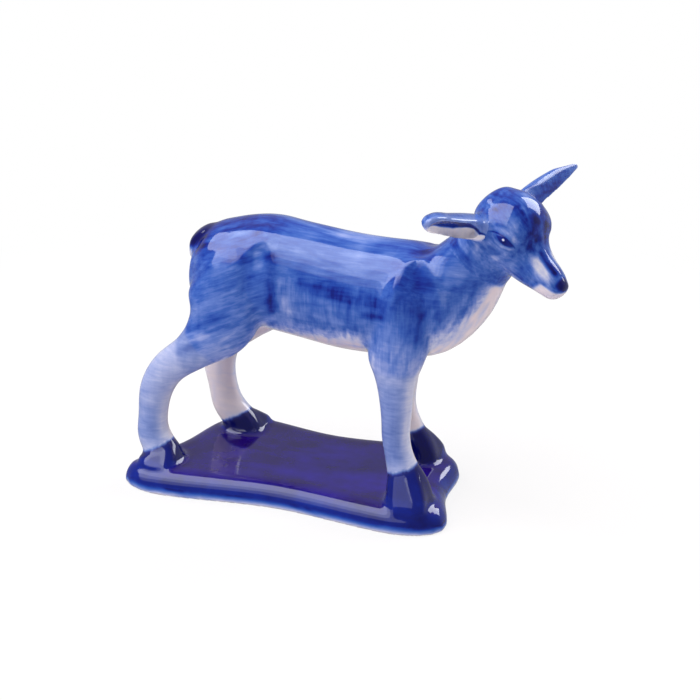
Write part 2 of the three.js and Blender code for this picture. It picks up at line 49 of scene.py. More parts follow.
FINE_VOXEL, QUICK_VOXEL = 0.38, 0.8
VOXEL = FINE_VOXEL
# Blur steps are counted on the fine skin, and a coarser one needs fewer for the same reach.
PASSES = (FINE_VOXEL / VOXEL) ** 2
SWELL = 0.3
NAMES = sorted(frame["nodes"])
KIND = {name: k for k, name in enumerate(NAMES)}
SLOTS = {s["node"]: s["material_slot"] for s in frame["record"]["subparts"]}

# The head's own frame: along the muzzle, to the deer's left, and up through the crown.
HEAD_AT = np.array([58.4, -1.0, 86.04])
TURN = math.radians(-22)
NOD = math.radians(38)
HEAD_AXES = np.array([
    [math.cos(TURN) * math.cos(NOD), math.sin(TURN) * math.cos(NOD), -math.sin(NOD)],
    [-math.sin(TURN), math.cos(TURN), 0],
    [math.cos(TURN) * math.sin(NOD), math.sin(TURN) * math.sin(NOD), math.cos(NOD)],
])


# Small helpers.
def step(low, high, x):
    t = np.clip((x - low) / (high - low), 0, 1)
    return t * t * (3 - 2 * t)


def mixed(a, b, t):
    return a + (b - a) * t


def unit(rows):
    return rows / np.linalg.norm(rows, axis=1)[:, None]


def rounds(count):
    return max(2, int(count * PASSES))


def blob(points, centre, size):
    d = (points - np.array(centre)) / np.array(size)
    return np.exp(-(d * d).sum(axis=1))


def away(points, line):
    best = np.full(len(points), 1e9)
    line = np.array(line, float)
    for a, b in zip(line[:-1], line[1:]):
        ab = b - a
        t = np.clip(((points - a) @ ab) / (ab @ ab), 0, 1)
        best = np.minimum(best, np.linalg.norm(points - a - t[:, None] * ab, axis=1))
    return best


def line_blob(points, line, width):
    d = away(points, line) / width
    return np.exp(-d * d)


def head_local(points):
    return (points - HEAD_AT) @ HEAD_AXES.T


# Both sides of the deer carry the same modelling, so a point of the left side is folded to the right.
def folded(points):
    return np.stack([points[:, 0], -np.abs(points[:, 1]), points[:, 2]], axis=1)


# The fused skin: all castings swollen a little, so that the slip gaps close, and made one mesh.
def solid(name):
    bm = bmesh.new()
    bm.from_mesh(frame["nodes"][name].data)
    bmesh.ops.scale(bm, vec=(1000, 1000, 1000), verts=bm.verts)
    bmesh.ops.remove_doubles(bm, verts=bm.verts, dist=0.002)
    bmesh.ops.triangulate(bm, faces=bm.faces)
    bm.normal_update()
    return bm


def gathered():
    plain, swollen, faces, owner = [], [], [], []
    for k, name in enumerate(NAMES):
        bm = solid(name)
        base = len(plain)
        for v in bm.verts:
            plain.append(v.co.copy())
            swollen.append(v.co + v.normal * SWELL)
        bm.verts.index_update()
        for f in bm.faces:
            faces.append([base + v.index for v in f.verts])
            owner.append(k)
        bm.free()
    return plain, swollen, faces, np.array(owner)


def hull_of(points):
    bm = bmesh.new()
    for p in points:
        bm.verts.new(p)
    bmesh.ops.convex_hull(bm, input=bm.verts)
    bmesh.ops.delete(bm, geom=[v for v in bm.verts if not v.link_faces], context="VERTS")
    bm.verts.index_update()
    corners = [v.co.copy() for v in bm.verts]
    faces = [[v.index for v in f.verts] for f in bm.faces]
    bm.free()
    return corners, faces


# Each hoof flares towards the rim beside it, so a copy that widens downwards is fused with it.
RIM_INSET = 0.9
RIM_BESIDE = 4
FACET_REACH = 0.53
TOE_POWER, HEEL_POWER = 3.2, 2.2
FLARE_POWER = 0.7
HOOF_SPREAD = 0.12
HOOF_SINK = 1.3


def flared(name, slab):
    bm = solid(name)
    points = [v.co.copy() for v in bm.verts]
    bm.free()
    low, high = min(p.z for p in points), max(p.z for p in points)
    middle = sum(points, Vector()) / len(points)
    side = -1 if "right" in name else 1
    widest = max(side * (p.y - middle.y) for p in points)
    half = FACET_REACH * (max(p.x for p in points) - min(p.x for p in points))
    beside = [side * q[1] for q in slab if abs(q[0] - middle.x) < RIM_BESIDE]
    rim = max(beside) - RIM_INSET - side * middle.y
    for p in points:
        spread = 1 - (p.z - low) / (high - low)
        outward = side * (p.y - middle.y)
        if outward > 0:
            power = TOE_POWER if p.x > middle.x else HEEL_POWER
            squared = max(0, 1 - min(1, abs(p.x - middle.x) / half) ** power) ** (1 / power)
            facet = mixed(widest, rim, spread) * squared
            p.y += side * (max(facet, outward) - outward) * spread ** FLARE_POWER
        p.x += (p.x - middle.x) * HOOF_SPREAD * spread * step(-1, 3, outward)
        p.z -= HOOF_SINK * step(0.85, 1, spread)
    return hull_of(points)


def remeshed(points, faces):
    mesh = bpy.data.meshes.new("raw")
    mesh.from_pydata(points, [], faces)
    raw = bpy.data.objects.new("raw", mesh)
    bpy.context.scene.collection.objects.link(raw)
    fuse = raw.modifiers.new("fuse", "REMESH")
    fuse.mode = "VOXEL"
    fuse.voxel_size = VOXEL
    fuse.adaptivity = 0
    shown = raw.evaluated_get(bpy.context.evaluated_depsgraph_get())
    out = shown.to_mesh()
    points = np.empty(len(out.vertices) * 3)
    out.vertices.foreach_get("co", points)
    corners = np.empty(len(out.loops), int)
    out.loops.foreach_get("vertex_index", corners)
    counts = np.empty(len(out.polygons), int)
    out.polygons.foreach_get("loop_total", counts)
    assert (counts == 4).all()
    shown.to_mesh_clear()
    bpy.data.objects.remove(raw)
    bpy.data.meshes.remove(mesh)
    return points.reshape(-1, 3), corners.reshape(-1, 4)


def largest(points, quads):
    group = np.arange(len(points))
    while True:
        low = group[quads].min(axis=1)
        new = group.copy()
        np.minimum.at(new, quads.ravel(), np.repeat(low, 4))
        new = new[new]
        if (new == group).all():
            break
        group = new
    kept = group == np.bincount(group).argmax()
    place = np.cumsum(kept) - 1
    return points[kept], place[quads[kept[quads].all(axis=1)]]


def edges_of(quads):
    pairs = np.concatenate([quads[:, [i, (i + 1) % 4]] for i in range(4)])
    pairs.sort(axis=1)
    return np.unique(pairs, axis=0)


class Skin:
    def __init__(self, points, quads):
        self.p = points
        self.q = quads
        self.e = edges_of(quads)
        self.n = len(points)
        self.degree = np.bincount(self.e.ravel(), minlength=self.n)[:, None]

    def average(self, values):
        a, b = self.e[:, 0], self.e[:, 1]
        out = np.empty_like(values)
        for k in range(values.shape[1]):
            out[:, k] = np.bincount(a, values[b, k], self.n) + np.bincount(b, values[a, k], self.n)
        return out / self.degree

    def blurred(self, values, steps, weight=1.0):
        flat = values.ndim == 1
        values = values[:, None] if flat else values
        for _ in range(steps):
            values = values + 0.5 * weight * (self.average(values) - values)
        return values[:, 0] if flat else values

    # A blur that gives back most of what it takes, so that forms keep their size.
    def faired(self, steps, weight):
        soft = self.blurred(self.p, steps, weight)
        self.p = soft + self.blurred(self.p - soft, steps, weight)

    def normals(self):
        a, b, c, d = (self.p[self.q[:, i]] for i in range(4))
        face = np.cross(c - a, d - b)
        out = np.empty_like(self.p)
        for k in range(3):
            out[:, k] = np.bincount(self.q.ravel(), np.repeat(face[:, k], 4), self.n)
        return out / np.maximum(np.linalg.norm(out, axis=1), 1e-12)[:, None]

    # Glaze fills the creases: hollows tighter than the given radius fill up, and nothing else moves.
    def pooled(self, radius, steps):
        limit = VOXEL ** 2 / (4 * radius)
        for k in range(steps):
            if k % 4 == 0:
                normal = self.normals()
            hollow = ((self.average(self.p) - self.p) * normal).sum(axis=1)
            self.p = self.p + 0.8 * np.maximum(hollow - limit, 0)[:, None] * normal


plain, swollen, faces, owner = gathered()
tree = BVHTree.FromPolygons(plain, faces)
raw_points, raw_faces = list(swollen), list(faces)
slab = [v.co * 1000 for v in frame["nodes"]["plinth"].data.vertices]
for name in NAMES:
    if "hoof" in name:
        more_points, more_faces = flared(name, slab)
        raw_faces += [[len(raw_points) + i for i in f] for f in more_faces]
        raw_points += more_points
skin = Skin(*largest(*remeshed(raw_points, raw_faces)))


def nearest_node(points):
    return owner[[tree.find_nearest(Vector(p))[2] for p in points]]


label = nearest_node(skin.p)


def of_kind(word):
    return np.isin(label, [k for k, name in enumerate(NAMES) if word in name])


def by_kind(values, default):
    out = np.full(skin.n, float(default))
    for word, value in values.items():
        out[of_kind(word)] = value
    return out


EASE = {"ear_": 0.5, "hoof": 0.6, "tail": 0.6, "plinth": 0.6}
ease = skin.blurred(by_kind(EASE, 1), rounds(20))[:, None]
skin.faired(rounds(40), ease)
skin.p = skin.p - SWELL * skin.normals()

# The radius of hollows that glaze fills, on each kind of casting and on the trunk's leg stubs.
POOL = {"ear_": 3.6, "head": 1.6, "hoof": 2.5, "plinth": 2.5, "_leg_": 3.2, "tail": 1.6}
LEAST_POOL = 0.9
STUB_POOL, STUB_TOP = 3.2, 51
# Two kinds of casting, how far the glaze spreads from the seam between them, and the radius there.
SEAMS = [
    ("head", "trunk", 60, 6),
    ("ear_left", "head", 100, 6),
    ("ear_right", "head", 230, 16),
    ("hoof", "plinth", 120, 6),
    ("tail", "trunk", 30, 3),
]


# How near each point of the skin is to the seam between two kinds of casting, from 0 to 1.
def seam(first, second, spread):
    a = skin.blurred(of_kind(first).astype(float), rounds(spread))
    b = skin.blurred(of_kind(second).astype(float), rounds(spread))
    return np.clip(4 * a * b, 0, 1)


pool = by_kind(POOL, LEAST_POOL)
pool[of_kind("trunk") & (skin.p[:, 2] < STUB_TOP)] = STUB_POOL
pool = skin.blurred(pool, rounds(16))
for first, second, spread, radius in SEAMS:
    pool = np.maximum(pool, radius * seam(first, second, spread))
skin.pooled(np.maximum(pool, LEAST_POOL), rounds(320))
skin.p = skin.blurred(skin.p, 3, 0.5 * ease)

# Haunch and shoulder are pads with a ridge for an edge: x, z and height of points along each ridge.
HAUNCH = [
    (-4.6, 55, 0.0), (-4.5, 61, 0.6), (-4.7, 66.6, 1.2), (-5.2, 70.4, 1.4), (-6.2, 73.6, 1.5),
    (-8.0, 75.2, 1.7), (-10.2, 74.4, 1.8), (-12.4, 72.4, 1.5), (-15, 70, 0.9), (-19, 67.5, 0.0),
]
SHOULDER = [
    (43.6, 60, 0.0), (43.4, 64, 0.6), (42.4, 68.8, 1.2), (40.8, 71.6, 1.5), (38.6, 73.6, 1.7),
    (36.2, 74.6, 1.8), (34.0, 74.6, 1.8), (32.3, 73.2, 1.7), (31.2, 70.6, 1.5), (30.8, 66, 1.0),
    (31, 59, 0.0),
]
RIDGE_TOP = 1.8
LEFT_RELIEF = 0.45


# A ridge that falls off over one distance inside the pad and over another outside it.
def arched(path, inner, outer):
    path = np.array(path, float)
    flat = right[:, [0, 2]]
    line = path[:, :2]
    best = np.full(skin.n, 1e9)
    height = np.zeros(skin.n)
    inside = np.zeros(skin.n, bool)
    for (a, b), (low, high) in zip(zip(line[:-1], line[1:]), zip(path[:-1, 2], path[1:, 2])):
        ab = b - a
        t = np.clip(((flat - a) @ ab) / (ab @ ab), 0, 1)
        rel = flat - a - t[:, None] * ab
        d = np.hypot(*rel.T)
        closer = d < best
        best = np.where(closer, d, best)
        height = np.where(closer, mixed(low, high, t), height)
        inside = np.where(closer, ab[0] * (flat[:, 1] - a[1]) - ab[1] * (flat[:, 0] - a[0]) > 0, inside)
    return height * np.exp(-best / np.where(inside, inner, outer))


normal = skin.normals()
right = folded(skin.p)
sides = of_kind("trunk") * step(0.25, 0.6, np.abs(normal[:, 1])) * step(50, 56, skin.p[:, 2])
relief = arched(HAUNCH, 4.0, 5.0) + arched(SHOULDER, 4.4, 2.6)
relief = skin.blurred(relief * sides * mixed(LEFT_RELIEF, 1, skin.p[:, 1] < 0), rounds(4))
skin.p = skin.p + relief[:, None] * normal

# The face's modelling in the head's frame: lines with their width and lift, and the nostril.
FACE_LINES = {
    "brow": ([(-0.5, -9.6, 5.0), (3.2, -8.2, 6.2), (7.0, -6.2, 4.6)], 1.2, 0.35),
    "cheek": ([(7.4, -7.2, 2.2), (10.5, -5.6, 0.6)], 1.6, -0.35),
    "mouth": ([(15.2, -5.2, -2.0), (19.0, -4.0, -1.2), (21.6, -1.8, -1.0), (22.0, 0, -1.0)], 0.55, -0.35),
    "bridge": ([(8.0, 0, 5.4), (12.0, 0, 3.4), (18.5, 0, 3.0)], 1.0, 0.35),
    "lip": ([(17.0, -3.6, -3.0), (20.2, -1.6, -2.6), (20.4, 0, -2.6)], 1.2, 0.25),
}
NOSTRIL_AT, NOSTRIL_SIZE, NOSTRIL_DEPTH = (20.7, -2.3, 0.9), (0.9, 0.9, 0.8), 0.55

normal = skin.normals()
local = folded(head_local(skin.p))
lift = -NOSTRIL_DEPTH * blob(local, NOSTRIL_AT, NOSTRIL_SIZE)
for line, width, amount in FACE_LINES.values():
    lift = lift + amount * line_blob(local, line, width)
skin.p = skin.p + (lift * of_kind("head"))[:, None] * normal


# An ear's middle, and its directions to the tip, across the blade, and out of its hollow.
def ear_axes(name):
    cloud = np.array([v.co for v in frame["nodes"][name].data.vertices]) * 1000
    middle = cloud.mean(axis=0)
    _, _, rows = np.linalg.svd(cloud - middle, full_matrices=False)
    along = rows[0] * np.sign((middle - HEAD_AT) @ rows[0])
    across = rows[1] * (1 if rows[1] @ HEAD_AXES[2] > 0 else -1)
    if abs(across @ HEAD_AXES[2]) < abs(rows[2] @ HEAD_AXES[2]) and "right" in name:
        across = rows[2] * (1 if rows[2] @ HEAD_AXES[2] > 0 else -1)
    opening = np.cross(along, across)
    opening = opening * (1 if opening @ HEAD_AXES[0] > 0 else -1)
    return middle, along, across, opening


def ear_places(name):
    own = np.flatnonzero(of_kind(name))
    middle, along, across, opening = ear_axes(name)
    rel = skin.p[own] - middle
    return own, rel @ along, rel @ across, rel @ opening


# A measure taken in slices of 1 mm along an ear, smoothed and given back for each point.
def by_length(t, values, pick):
    bins = np.clip((t + 16).astype(int), 0, 40)
    out = np.array([pick(values[bins == k]) if (bins == k).any() else 0 for k in range(41)])
    return np.convolve(np.pad(out, 2, "edge"), np.ones(5) / 5, "valid")[bins]


# The far ear is a flat pointed blade, so its section is squared off, and its tip is slim and bends forward.
BLADE_POWER, BLADE_FULL = 7, 0.9
TIP_SLIM, TIP_STRETCH, TIP_BEND = 0.25, 0.2, 0.1
BEND_WAY = np.array((0.8, 0.3, -0.6))


def far_ear_shaped():
    own, t, a, o = ear_places("ear_left")
    _, along, across, opening = ear_axes("ear_left")
    wide = by_length(t, a, np.max)
    deep = np.maximum(by_length(t, -o, np.max), 0.5)
    full = wide * np.clip(1 - np.clip(-o / deep, 0, 1) ** BLADE_POWER, 0, 1) ** (1 / BLADE_POWER)
    grow = np.maximum(full - a, 0) * (a > 0) * (o < 0.3) * step(-9.5, -6, t) * step(13, 8, t)
    slim = -TIP_SLIM * step(6, 13, t)
    move = np.zeros((skin.n, 3))
    move[own] = (BLADE_FULL * grow + slim * (a - by_length(t, a, np.mean)))[:, None] * across
    move[own] += (slim * (o - by_length(t, o, np.mean)))[:, None] * opening
    move[own] += (TIP_STRETCH * np.maximum(t - 8, 0))[:, None] * along
    move[own] += (TIP_BEND * np.maximum(t - 6, 0))[:, None] * BEND_WAY
    skin.p = skin.p + skin.blurred(move, rounds(7))
    smooth = 0.6 * skin.blurred(of_kind("ear_left") * 1.0, rounds(6))[:, None]
    skin.p = skin.blurred(skin.p, rounds(8), smooth)


# The near ear has a blunt tip.
TIP_FAT, TIP_SHORTER = 0.22, 0.25


def near_ear_shaped():
    own, t, a, o = ear_places("ear_right")
    _, along, across, opening = ear_axes("ear_right")
    fat = TIP_FAT * step(4, 11, t)
    move = np.zeros((skin.n, 3))
    move[own] = (fat * (a - by_length(t, a, np.mean)))[:, None] * across
    move[own] += (fat * (o - by_length(t, o, np.mean)))[:, None] * opening
    move[own] -= (TIP_SHORTER * np.maximum(t - 10, 0))[:, None] * along
    skin.p = skin.p + skin.blurred(move, rounds(4))


far_ear_shaped()
near_ear_shaped()
FOOT_FLAT = 0.16
foot = of_kind("plinth") & (skin.p[:, 2] < FOOT_FLAT)
skin.p[foot, 2] = 0
skin.p[:, 2] = np.maximum(skin.p[:, 2], 0)

# The normals that the pieces are shaded with. They are bent on the near ear's rim, the neck, the pads and
# the far ear, so that highlights fall in their places. The painting of face and ears uses unbent ones.
RIM_BEND, NECK_BEND, PAD_BEND, BLADE_BEND = 0.7, 0.3, 0.4, 1.7
NECK_AT, NECK_SIZE = (44, -8, 77.5), (4.5, 6, 6)
_, _, near_across, near_opening = ear_axes("ear_right")
_, _, far_across, _ = ear_axes("ear_left")

normal = skin.blurred(skin.normals(), rounds(6))
facing_way = unit(normal)
upper = of_kind("ear_right") * step(-0.3, 0.5, normal @ near_across)
upper = skin.blurred(upper * step(0.7, 0.2, normal @ near_opening), rounds(4))
normal = normal - RIM_BEND * upper[:, None] * near_opening
neck = skin.blurred(blob(right, NECK_AT, NECK_SIZE) * ~of_kind("ear_"), rounds(6))
pads = (arched(HAUNCH, 2.6, 0.3) + arched(SHOULDER, 4.5, 0.3)) / RIDGE_TOP
pads = skin.blurred(pads * sides, rounds(3))
near_side = step(3, -3, skin.p[:, 1])
normal[:, 2] -= (NECK_BEND * neck + PAD_BEND * pads) * near_side
blade = skin.blurred(of_kind("ear_left") * step(-0.2, 0.4, normal @ far_across), rounds(6))
normal = unit(normal + BLADE_BEND * blade[:, None] * far_across)

x, y, z = skin.p.T
nx, ny, nz = normal.T
hand = np.where(y < 0, -1.0, 1.0)
right = folded(skin.p)

is_leg = of_kind("_leg_")
is_hoof = of_kind("hoof")
is_ear = of_kind("ear_")
is_head = of_kind("head")
is_plinth = of_kind("plinth")
is_tail = of_kind("tail")
is_trunk = of_kind("trunk")

# The painting: how dense the cobalt is, from bare glaze at 0 to the darkest blue at 1.
COAT_LOW, COAT_HIGH = 0.53, 0.59
BARE, HEAD_COAT, EAR_COAT = 0.02, 0.6, 0.58
HOOF_EDGE, HOOF_FACET_THIN_SHEEN, TAIL_TIP, FOOT_LINE = 0.95, 0.93, 0.14, 0.12
RIM_PAINT, TOP_PAINT = 0.88, 0.92
# Patches of the coat that are denser or thinner: centre, size and amount.
COAT_PATCHES = [
    ((36, -12, 66), (4.5, 8, 8), 0.17),
    ((-24, -13, 60), (7, 8, 6), 0.05),
    ((-10, -12, 68), (5, 6, 7), 0.06),
    ((-29, -4, 73.5), (4.5, 5.5, 4), 0.42),
    # The next patch darkens the rump's back where the overhead light falls strongly: painted shade.
    ((-31, -9, 62), (4, 8, 9), 0.05),
    ((46, -10, 75), (5, 6, 8), -0.06),
    ((9, -11, 71.5), (12, 4, 2.6), -0.08),
    ((29.6, -13, 69.4), (2.6, 4, 3), 0.08),
    ((0, -13, 54), (6, 5, 5), -0.13),
    ((25.5, -14, 55), (4, 5, 5), -0.1),
]
# Cobalt on the legs' outer sides at heights above the floor.
FRONT_LEG = {14: 0.24, 17: 0.4, 20: 0.49, 32: 0.48, 42: 0.4, 48: 0.38, 54: 0.46, 60: 0.58}
HIND_LEG = {8: 0.18, 11: 0.28, 14: 0.4, 18: 0.42, 30: 0.36, 40: 0.26, 43.5: 0.26, 46: 0.28, 56: 0.3}
# Single strong strokes: path, width and amount.
ACCENTS = [
    ([(-5.2, -11.6, 72.5), (-4.7, -13.4, 65), (-5.2, -13.4, 57)], 1.3, 0.36),
    ([(-13.0, -11.6, 71.4), (-9.2, -9.6, 75.0), (-6.4, -11.4, 72.4)], 1.1, 0.16),
    ([(-30.5, -14.6, 48.8), (-24, -15.4, 51.8), (-18, -15.4, 54.6)], 1.8, 0.18),
    ([(-33.5, -12.8, 46), (-30.5, -13.6, 48.5)], 2.0, 0.12),
    ([(-32.5, -14.8, 42), (-27, -15.2, 44.5)], 1.4, 0.18),
    ([(4, -11.8, 66.8), (15.3, -12.8, 64.6), (28, -13.4, 63.2)], 2.2, 0.2),
    ([(13.5, -12.8, 65.2), (17.5, -13, 64.8)], 2.2, 0.14),
    ([(30.6, -13.9, 64), (31.0, -12.4, 70), (33.4, -8.8, 74)], 1.1, 0.12),
    ([(40.5, -9.8, 70), (41.4, -10.8, 67), (41.9, -11.6, 62)], 1.4, 0.16),
    ([(22.2, -13.6, 60.2), (27.2, -13.9, 60.4)], 1.0, 0.28),
    ([(-0.8, -13.6, 61), (-0.2, -13.8, 54)], 1.8, -0.2),
    ([(-9.5, -11.5, 73.2), (-8.4, -12.4, 70.5)], 1.6, -0.12),
    ([(38, -13, 62), (37, -13.6, 55)], 2.0, 0.1),
    ([(30.8, -15.4, 40), (31.0, -15.4, 30), (31.4, -15.4, 21)], 1.2, 0.07),
    ([(-41.6, -16.4, 18), (-41.4, -16.6, 15)], 1.8, 0.08),
]


def bare_glaze():
    edge = mixed(-0.5, -0.24, step(-4, 16, x))
    belly = step(edge, edge - 0.36, nz) * step(62, 52, z) * mixed(0.3, 1, step(-20, -9, x))
    ventral = nx * 0.77 - nz * 0.64
    throat = step(0.44, 0.74, ventral + 0.1 * step(64, 54, z)) * step(36, 44, x)
    return np.maximum(belly, throat)


# The back is darker over rump and withers and paler between them, and the thighs are paler low down.
def coat_paint():
    coat = mixed(COAT_LOW, COAT_HIGH, step(54, 70, z))
    ends = mixed(0.1, 1, np.maximum(step(0, -14, x), step(24, 36, x)))
    between = step(6, 14, x) * step(26, 18, x)
    coat = coat + 0.16 * step(0.72, 0.95, nz) * step(60, 70, z) * ends
    coat = coat - 0.2 * step(0.7, 0.92, nz) * step(60, 70, z) * between
    coat = coat - 0.13 * step(54, 45, z) * step(0, -8, x)
    for centre, size, amount in COAT_PATCHES:
        coat = coat + amount * blob(right, centre, size)
    return coat


def leg_paint():
    front = np.interp(z, list(FRONT_LEG), list(FRONT_LEG.values()))
    hind = np.interp(z, list(HIND_LEG), list(HIND_LEG.values()))
    pale_front = mixed(1, 0.42, step(0.35, 0.85, nx) * step(52, 44, z))
    return np.where(x < 0, hind, front) * mixed(0.08, 1, outer) * pale_front


bare = bare_glaze()
coat = coat_paint()
outer = step(-0.45, 0.3, ny * hand)
leg = leg_paint()
hock = np.where(y < 0, step(-33.4, -35.4, x + 0.4 * (z - 42.7)), step(52, 45, z))
leg_part = np.where(x < 0, hock, step(56, 49, z)) * (is_trunk | is_leg)
body_paint = coat * (1 - bare) + BARE * bare
cobalt = mixed(body_paint, np.minimum(leg, body_paint), leg_part)
thigh = mixed(coat * mixed(0.05, 1, outer), leg, hock)
cobalt[is_leg] = np.where(x < 0, thigh, leg)[is_leg]
cobalt[is_head] = HEAD_COAT
cobalt[is_ear] = EAR_COAT
cobalt = skin.blurred(cobalt, rounds(10))
for line, width, amount in ACCENTS:
    cobalt = cobalt + amount * line_blob(right, line, width) * (is_trunk | is_leg) * (1 - bare)

# Painted light on the pads: their ridges are painted paler as a highlight, and the shoulder pad darker just
# inside its ridge as shade.
crest_highlight = (arched(HAUNCH, 0.5, 0.5) + arched(SHOULDER, 0.5, 0.5)) / RIDGE_TOP
under_crest_shade = arched(SHOULDER, 3.2, 0.3) / RIDGE_TOP
cobalt = cobalt + is_trunk * (0.08 * under_crest_shade - 0.1 * crest_highlight)
# Where a hoof's facet faces up and out it is a little paler: thinner paint, and a painted sheen for its
# lavender reflection.
facet = step(0.3, 0.6, ny * hand) * step(0.15, 0.4, nz)
cobalt[is_hoof] = mixed(1.0, HOOF_FACET_THIN_SHEEN, facet)[is_hoof]
above_hoof = skin.blurred(is_hoof.astype(float), rounds(12))
hoof_edge = np.maximum(step(0.12, 0.2, above_hoof), step(9.4, 8.6, z))
cobalt = np.where(is_leg, mixed(cobalt, HOOF_EDGE, hoof_edge), cobalt)
cobalt[is_tail] = mixed(1.0, TAIL_TIP, step(70, 67, z) * step(-31, -32.5, x))[is_tail]
# The slab's top is painted a little darker towards its far left, a painted dimming of its reflection there.
slab_paint = mixed(RIM_PAINT, TOP_PAINT + 0.05 * step(10, -30, x - y), step(0.75, 0.97, nz))
slab_paint = slab_paint + 0.1 * blob(skin.p, (40, -20, 2), (7, 6, 6))
cobalt[is_plinth] = mixed(FOOT_LINE, slab_paint, step(0.3, 2.5, z))[is_plinth]
cobalt = skin.blurred(cobalt, rounds(3))

# Brush strokes laid one by one, each a soft-ended dab on the surface. Where they pile up, they are held back.
kd = KDTree(skin.n)
for i, p in enumerate(skin.p):
    kd.insert(p, i)
kd.balance()
STROKE_TURN = 0.14
STROKE_DEPTH = 2.5
STROKE_MOST = 0.22


def brushed(field, where, way, count, length, width, strength, seed):
    rng = np.random.default_rng(seed)
    where = where * 1.0
    places = np.flatnonzero(where > 0.3)
    for i in rng.choice(places, count):
        n = normal[i]
        d = np.array(way, float)
        d = d - (d @ n) * n
        size = np.linalg.norm(d)
        if size < 1e-3:
            continue
        d = d / size
        across = np.cross(n, d)
        turn = rng.normal(0, STROKE_TURN)
        c, s = math.cos(turn), math.sin(turn)
        d, across = d * c + across * s, across * c - d * s
        reach = length * rng.uniform(0.6, 1.4)
        wide = width * rng.uniform(0.6, 1.5)
        amount = strength * rng.uniform(-0.7, 1)
        near = np.array([found[1] for found in kd.find_range(skin.p[i], reach + 1)])
        rel = skin.p[near] - skin.p[i]
        u, v, w = rel @ d / reach, rel @ across / wide, rel @ n / STROKE_DEPTH
        shape = np.exp(-v * v - w * w) * step(1, 0.55, np.abs(u))
        field[near] += amount * shape * where[near]


LENGTHWISE = (1, 0, -0.05)
UPRIGHT = (0.12, 0, 1)
SLANTED = (1, 0, 0.55)
NECKWISE = (0.45, 0, 1)
FACEWARD = HEAD_AXES[0]
CROSSFACE = HEAD_AXES[1] + 0.4 * HEAD_AXES[0]
EARWARD = (0.3, 0.9, -0.1)

body = np.where(is_leg, step(36, 46, z) * outer, 1.0 * is_trunk)
haunch = body * (x < -4) * step(-34, -29, x)
barrel = is_trunk & (x >= -4) & (x < 30)
breast = body * (x >= 28)
fringe = is_trunk & (bare > 0.06) & (bare < 0.85) & (z < 66)
leg_foot = is_leg & (skin.blurred(is_hoof.astype(float), rounds(14)) > 0.02)
# Where the strokes lie, the way they run, how many, their length and width, and their strength.
STROKES = [
    (is_trunk & (z > 68), LENGTHWISE, 300, 9, 0.9, 0.1),
    (haunch * (z > 44), SLANTED, 320, 7, 0.8, 0.1),
    (haunch * (z > 44), UPRIGHT, 160, 5, 0.6, 0.06),
    (barrel & (z < 70), LENGTHWISE, 200, 7, 0.8, 0.08),
    (barrel & (z < 68), UPRIGHT, 320, 4, 0.5, 0.09),
    (breast, NECKWISE, 360, 5, 0.7, 0.09),
    (fringe, UPRIGHT, 420, 3.0, 0.45, 0.1),
    (is_leg, LENGTHWISE, 300, 3.0, 0.45, 0.06),
    (is_leg & (z > 15), UPRIGHT, 110, 6, 0.9, 0.05),
    (leg_foot, UPRIGHT, 120, 1.2, 0.42, 0.22),
    (is_head, FACEWARD, 300, 3.0, 0.7, 0.1),
    (is_head, CROSSFACE, 300, 1.8, 1.0, 0.18),
    (is_ear, EARWARD, 140, 4.0, 0.5, 0.16),
    (is_plinth & (z > 3), LENGTHWISE, 160, 9, 1.4, 0.05),
    (is_plinth & (z < 2.6), LENGTHWISE, 300, 5, 0.5, 0.16),
]
share = 1
strokes = np.zeros(skin.n)
for where, way, count, length, width, strength in STROKES:
    brushed(strokes, where, way, int(count * share), length, width, strength, count)
cobalt = np.clip(cobalt + STROKE_MOST * np.tanh(strokes / STROKE_MOST), 0, 1)

# What the materials read: cobalt, how streaky it is, how warm bare glaze is, and where head and ears are.
STREAK = {"hoof": 0.1, "tail": 0.1, "plinth": 0.24, "_leg_": 0.26}
streak = by_kind(STREAK, 0.37) + 0.15 * fringe
streak = skin.blurred(streak, rounds(12)) * mixed(0.2, 1, step(0.03, 0.25, cobalt))
warm = step(0.22, 0.02, cobalt)
paint = np.stack([cobalt, streak, warm, 1.0 * (is_head | is_ear)], axis=1)
# How much of the streaks runs lengthwise, upright and slanted on the trunk, and round the legs.
hind_part = step(-2, -10, x)
lay = np.stack([
    is_trunk * mixed(mixed(0.9, 0.4, step(70, 62, z)), 0.2, hind_part),
    is_trunk * step(72, 64, z) * 0.7 * (1 - hind_part) + 0.3 * is_leg,
    1.1 * is_trunk * hind_part,
    is_leg * 0.9,
], axis=1)
# How far the blue turns to purple, how much of its strength it keeps, and how dull the glaze is.
violet = skin.blurred(0.25 * is_plinth * step(0.7, 0.95, nz) + 0.03, rounds(8))
keep = skin.blurred(1 - 0.16 * is_leg * step(52, 46, z), rounds(8))
dull = skin.blurred(0.3 * of_kind("ear_left"), rounds(20))
tone = np.stack([violet, keep, dull, np.ones(skin.n)], axis=1)

# The finer painting of the face, in the head's frame, and of the ears, on meshes that are divided once more.
FACE_PATCHES = [
    ((4, -2, 7.5), (4.5, 3.4, 3.5), 0.24),
    ((8, -3.6, 4.8), (3.6, 2.8, 2.8), 0.22),
    # The next patch darkens the temple under its reflection of the overhead light: painted shade that dims
    # the reflection.
    ((-1.6, -7.9, 5.8), (3, 3, 3), 0.12),
    ((-5, -3, 7), (4, 5, 4), 0.1),
    ((6, -8.5, -3), (6, 4, 4), -0.14),
]
FACE_STROKES = [
    ([(9, -2.0, 5), (12, -1.5, 3.6), (18, -1.4, 2.6)], 0.7, 0.24),
    ([(8, -6, 2), (12, -4.4, 0.5)], 1.2, 0.1),
]
